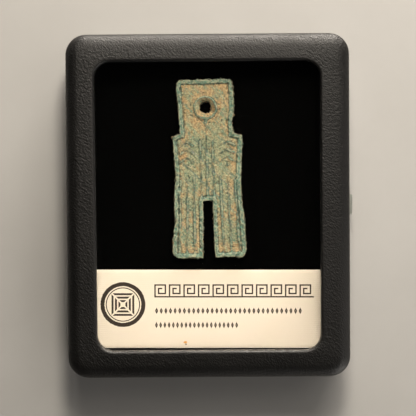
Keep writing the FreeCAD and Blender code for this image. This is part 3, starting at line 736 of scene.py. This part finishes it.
crest, crust, hollow, inner = (coin_mesh.verts.layers.float.new(name)
                               for name in ("crest", "crust", "hollow", "inner"))
spot = coin_mesh.verts.layers.float_vector.new("coin_place")
field_depth, ridge_height = 0.55 * mm, 0.36 * mm
front_field, back_field = coin_high.z - field_depth, coin_low.z + field_depth
unturn = Matrix.Rotation(-coin_turn, 3, "Z")
coin_mesh.normal_update()
for vert in coin_mesh.verts:
    local = unturn @ (vert.co - coin_place)
    across, along = local.x * 1000, local.y * 1000
    upper = vert.co.z > (coin_low.z + coin_high.z) / 2
    height = (vert.co.z - front_field) if upper else (back_field - vert.co.z)
    raised = clamped(height / ridge_height)
    side = 1 - min(1.0, abs(vert.normal.z) / 0.6)
    sunk = 0.0
    across, inside = worn_edges(across, along)
    along -= 0.28 * clamped((along - 20) / 8)
    opened = 0.28 + 0.34 * clamped((-14 - along) / 13)
    opened *= clamped((3.6 - abs(across)) / 2.2) * clamped((-9.4 - along) / 1.2)
    across += math.copysign(opened, across)
    ring_x, ring_y = across - ring_place[0], along - ring_place[1]
    ring_gap = math.hypot(ring_x, ring_y)
    inside = min(inside, abs(ring_gap - ring_inner))
    if ring_gap < ring_outer:
        turn = math.atan2(ring_y, ring_x)
        shape = 0.20 + 0.10 * math.cos(3 * turn + 1.57) + 0.06 * math.cos(5 * turn + 0.6)
        shape += 0.28 * clamped((ring_gap - 1.5) / 1.2)
        wider = 1 + shape * clamped(ring_outer - ring_gap) / max(ring_gap, 1.0)
        raised *= clamped((ring_gap - 2.6) / 0.3)
        across, along = ring_x * wider + ring_place[0], ring_y * wider + ring_place[1]
    elif inside > edge_band and height > 0:
        wear = 0.55 - 1.6 * noise.noise(Vector((across, along * 0.5, 40)) * 0.42)
        wear = clamped(wear, 0.9) + clamped((along - 8) / 4, 0.6)
        sunk = min(height * 1000, 0.42) * min(0.95, wear) * 0.8
        raised *= 1 - min(0.95, wear) * 0.75
    rise = 0.0
    for (x0, y0), (x1, y1), width, lift in flaws:
        run_x, run_y = x1 - x0, y1 - y0
        share = clamped(((across - x0) * run_x + (along - y0) * run_y) / (run_x ** 2 + run_y ** 2))
        gap = math.hypot(across - x0 - share * run_x, along - y0 - share * run_y)
        rise += lift * math.exp(-(gap / width) ** 2 * 2)
    spot_at = Vector((across, along, vert.co.z * 1000))
    lumps = (noise.noise(spot_at * 0.45) * 0.14 + noise.noise(spot_at * 1.1) * 0.11
             + noise.noise(spot_at * 2.3) * 0.09)
    if inside < edge_band and ring_gap > 4.5:
        lumps -= max(0.0, noise.noise(spot_at * 0.7 + Vector((5, 5, 30))) + 0.05) * 0.5
        lumps += noise.noise(spot_at * 1.6) * 0.12
    nibble = (noise.noise(spot_at * 0.55 + Vector((9, 4, 2))) * 0.42
              + noise.noise(spot_at * 1.5 + Vector((3, 7, 5))) * 0.42)
    ragged = 1.5 if across > 0 and along > 11 else 0.9
    pit = max(0.0, noise.noise(spot_at * 1.1 + Vector((20, 1, 8))) - 0.50) * 1.6
    moved = lumps * (1 - 0.5 * side) + nibble * side * ragged - pit * (1 - side) - sunk * (1 - side)
    # Steep faces count towards this mask as well as the random crust, so its dark layer in the
    # colour is painted shade on those faces mixed with crust.
    vert[crust] = min(1.0, side * 0.8 + max(0.0, nibble) * 0.9)
    vert[crest] = clamped(raised * (1.0 if inside < edge_band else 0.62))
    vert[inner] = clamped(inside / 5.0)
    vert[spot] = spot_at
    way = vert.normal * moved * mm + Vector((0, 0, rise * max(0.0, vert.normal.z))) * mm
    local = Vector((across * mm, along * mm, 0)) + Vector((way.x, way.y, 0))
    level = vert.co.z + way.z * (1.0 if vert.co.z > coin_low.z + 0.4 * mm else 0.0)
    vert.co = unturn.transposed() @ local + coin_place
    vert.co.z = max(coin_low.z + 0.01 * mm, min(coin_high.z, level))
coin_mesh.normal_update()
# How deep each point sits in a hollow, against its neighbours. In the colour this darkens the
# hollows as painted shade and lightens the bumps as wear.
dips = {}
near = {vert: [edge.other_vert(vert) for edge in vert.link_edges] for vert in coin_mesh.verts}
for vert, ends in near.items():
    ends = ends + [far for end in ends for far in near[end]]
    mean = sum((end.co for end in ends), Vector()) / len(ends)
    dips[vert] = (mean - vert.co).dot(vert.normal) / (0.035 * mm)
for _ in range(3):
    dips = {vert: (dips[vert] * 2 + sum(dips[end] for end in ends)) / (len(ends) + 2)
            for vert, ends in near.items()}
for vert, dip in dips.items():
    vert[hollow] = max(-1.0, min(1.0, dip * 1.3))


def patina():
    """Layers of corrosion: fields, raised lines, stains, worn places, crust and specks; with
    painted shade at the foot of the raised lines, in the hollows and on the steep faces.
    """
    material, place, feed = start_material("corroded_bronze", Specular_IOR_Level=0.22)
    place = place.make("Attribute", {"attribute_name": "coin_place"}, output="Vector")
    raised, crust_and_steepness_mask, sunk, centre = (place.make("Attribute", {"attribute_name": name}, output="Fac")
                                     for name in ("crest", "crust", "hollow", "inner"))
    broad = place.noise(0.22, 4.0, 0.6)
    middle = place.stretched((0, 0, 0), (1.0, 0.5, 1.0)).noise(0.9, 4.0, 0.7)
    fine = place.noise(1.7, 4.0, 0.7)
    grit = place.noise(3.6, 3.0, 0.7)
    hue = (place + 31.0).noise(1.3, 5.0, 0.75)
    mottle = fine * 0.6 + grit * 0.4
    tone = mottle.between(0.38, 0.62)

    earth = tone.blend((0.19, 0.13, 0.062), (0.49, 0.33, 0.165))
    olive = tone.blend((0.10, 0.125, 0.075), (0.33, 0.34, 0.21))
    cover = broad * 0.6 + middle * 0.6 + hue * 0.5 + fine * 0.3 + centre * 0.22
    field = cover.between(0.97, 1.24).blend(earth, olive)

    green = tone.blend((0.08, 0.12, 0.085), (0.25, 0.34, 0.25))
    teal = hue.between(0.48, 0.62).blend(green, (0.075, 0.20, 0.145))
    dull = ((place + 11.0).noise(0.8, 4.0, 0.7) * 0.7 + fine * 0.3).between(0.47, 0.60)
    teal = (dull * 0.6).blend(teal, (0.055, 0.085, 0.063))
    ridge = mottle.between(0.36, 0.64).blend((0.055, 0.10, 0.075), (0.16, 0.235, 0.17))
    lines = (raised + (fine - 0.5) * 0.4 + (middle - 0.5) * 0.6).between(0.16, 0.36)
    surface = lines.blend(field, raised.between(0.66, 0.84).blend(ridge, teal))

    # Painted shade: a dark band along the foot of each raised line, where it rises from the field.
    foot = raised.between(0.03, 0.14) * raised.between(0.42, 0.26)
    patches = (hue * 0.6 + middle * 0.5).between(0.56, 0.68)
    cold = (place + 77.0).noise(1.9, 4.0, 0.7).between(0.55, 0.66)
    # Painted shade in the hollows: every concave place is darkened.
    painted_hollow_shade = (sunk + (hue - 0.5) * 1.2).between(0.22, 0.80)
    worn = (0.0 - sunk + (mottle - 0.5) * 0.9).between(0.30, 0.90)
    # Painted shade on the steep faces of the rims, ribs and edges, mixed with random dark crust.
    crust_and_painted_flank_shade = (crust_and_steepness_mask * 1.2 + (fine - 0.5) * 1.1 + (middle - 0.5) * 0.8).between(0.42, 0.85)
    rust = middle.between(0.54, 0.68) * crust_and_steepness_mask.between(0.15, 0.5)
    specks = place.make("TexVoronoi", {}, {"Vector": place, "Scale": 0.9, "Randomness": 1.0},
                        "Distance")
    bloom = (specks + (grit - 0.5) * 0.5).between(0.22, 0.12) * hue.between(0.45, 0.55)
    # Of these layers, the first and the fourth are painted shade and the sixth is crust mixed with
    # painted shade on the steep faces; the others are the patina's own colours.
    for mask, colour in ((foot * (0.6 + (middle - 0.5) * 3.0), (0.035, 0.052, 0.042)),
                         (patches * 0.7, (0.11, 0.18, 0.13)),
                         (cold * 0.55, (0.105, 0.125, 0.15)),
                         (painted_hollow_shade * 0.62, (0.04, 0.058, 0.046)),
                         (worn * 0.45, (0.42, 0.36, 0.23)),
                         (crust_and_painted_flank_shade * 0.8, (0.030, 0.042, 0.034)),
                         (rust * 0.8, (0.25, 0.105, 0.04)),
                         (bloom * 0.75, (0.065, 0.25, 0.175)),
                         (mottle.between(0.59, 0.68) * 0.4, (0.50, 0.43, 0.28)),
                         (mottle.between(0.40, 0.33) * 0.6, (0.03, 0.032, 0.022))):
        surface = mask.blend(surface, colour)
    feed("Base Color", surface)
    feed("Roughness", fine.between(0.2, 0.8, 0.66, 0.92))
    feed("Normal", bumped(fine * 0.7 + middle * 0.3 + grit * 0.3, 0.00042))
    return material


finish_piece(coin_mesh, "spade_coin_cast", patina(), "base", "coin_bronze", "spade_coin")


# Hinge. Two rolled brass leaves on a brass pin in the left wall, riveted through the steel.
brass = metal("old_brass", (0.62, 0.42, 0.16), 0.3, (1, 5, 1), 900.0, 0.55)
dress(brass, "hinge_leaf_lid", "hinge_leaf_base", "hinge_pin", "hinge_rivets_lid",
      "hinge_rivets_base", "strike_rivets", "housing_rivets")


# Catch. A bent steel strike in the lid, a hooked strip behind the plated button, a housing and
# a bowed flat spring. The button is nickel plated, with the fine marks of brushing.
catch_steel = metal("bright_steel", (0.46, 0.46, 0.455), 0.40, (1, 1, 6), 1100.0, 0.75)
dress(catch_steel, "latch_strike", "latch_slide", "latch_housing")
dress(metal("nickel_plate", (0.60, 0.62, 0.57), 0.36, (1, 6, 1), 1500.0, 0.8), "latch_button")
spring_mesh = bmesh.new()
spring_mesh.from_mesh(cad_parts["latch_spring"].data)
bmesh.ops.remove_doubles(spring_mesh, verts=spring_mesh.verts[:], dist=1e-7)
spring = finish_piece(spring_mesh, "bowed_spring", catch_steel, "base", "catch_steel",
                      "latch_spring")
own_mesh(spring)


# Studio. A pale matt table top under a warm lamp near the head of the box, with a low strip
# behind it that draws the bright line along the lid's shoulder, and wide pale lights beside.
floor_mesh = bmesh.new()
bmesh.ops.create_grid(floor_mesh, x_segments=2, y_segments=2, size=1.6)
floor_data = bpy.data.meshes.new("table_top")
floor_mesh.to_mesh(floor_data)
floor_mesh.free()
floor_stuff, place, feed = start_material("pale_table", Specular_IOR_Level=0.2)
mottle = place.noise(24.0, 5.0, 0.6)
feed("Base Color", mottle.between(0.2, 0.8).blend((0.55, 0.54, 0.525), (0.59, 0.58, 0.565)))
feed("Roughness", mottle.between(0.2, 0.8, 0.75, 0.9))
floor_data.materials.append(floor_stuff)
floor = bpy.data.objects.new("table_top", floor_data)
bpy.context.scene.collection.objects.link(floor)

scene = bpy.context.scene
scene.view_settings.view_transform = "Standard"
world = bpy.data.worlds.new("studio")
world.use_nodes = True
scene.world = world
room = Signal(world.node_tree, None).make("TexCoord", output="Generated")
height = room.make("SeparateXYZ", {}, {0: room}, "Z")
shade = height.between(0.05, 0.75).blend((0.04, 0.039, 0.038), (0.004, 0.004, 0.004))
world.node_tree.links.new(shade.socket, world.node_tree.nodes["Background"].inputs["Color"])


def lamp(name, place, target, size, power, colour, spread=180):
    light = bpy.data.lights.new(name, "AREA")
    light.shape, light.size, light.size_y = "RECTANGLE", size[0], size[1]
    light.energy, light.color, light.spread = power, colour, math.radians(spread)
    holder = bpy.data.objects.new(name, light)
    holder.location = place
    holder.rotation_euler = (Vector(target) - Vector(place)).to_track_quat("-Z", "Y").to_euler()
    scene.collection.objects.link(holder)


lamp("key_lamp", (0.025, 0.26, 0.38), (0, 0, 0.02), (0.08, 0.14), 1.30, (1.0, 0.915, 0.79))
lamp("right_lamp", (0.28, 0.16, 0.50), (0, 0, 0.02), (0.2, 0.2), 0.32, (1.0, 0.93, 0.83))
lamp("low_strip", (0.10, 0.50, 0.09), (0, 0.04, 0.02), (0.5, 0.13), 1.0, (1.0, 0.92, 0.82), 60)
lamp("front_strip", (0.42, -0.55, 0.10), (0.03, -0.05, 0.01), (0.3, 0.12), 1.5, (1.0, 0.95, 0.88))
lamp("side_fill", (0.7, -0.3, 0.35), (0, 0, 0.01), (0.5, 0.5), 0.8, (1.0, 0.95, 0.90))

camera = bpy.data.cameras.new("view")
camera.sensor_width, camera.lens = 36.0, 1457.8 * 36.0 / 416
camera.clip_start = 0.01
viewer = bpy.data.objects.new("view", camera)
viewer.location = (0.00053, 0.01376, 0.480)
viewer.rotation_euler = Euler([math.radians(angle) for angle in (-1.8, 0.063, -0.398)])
scene.collection.objects.link(viewer)
scene.camera = viewer
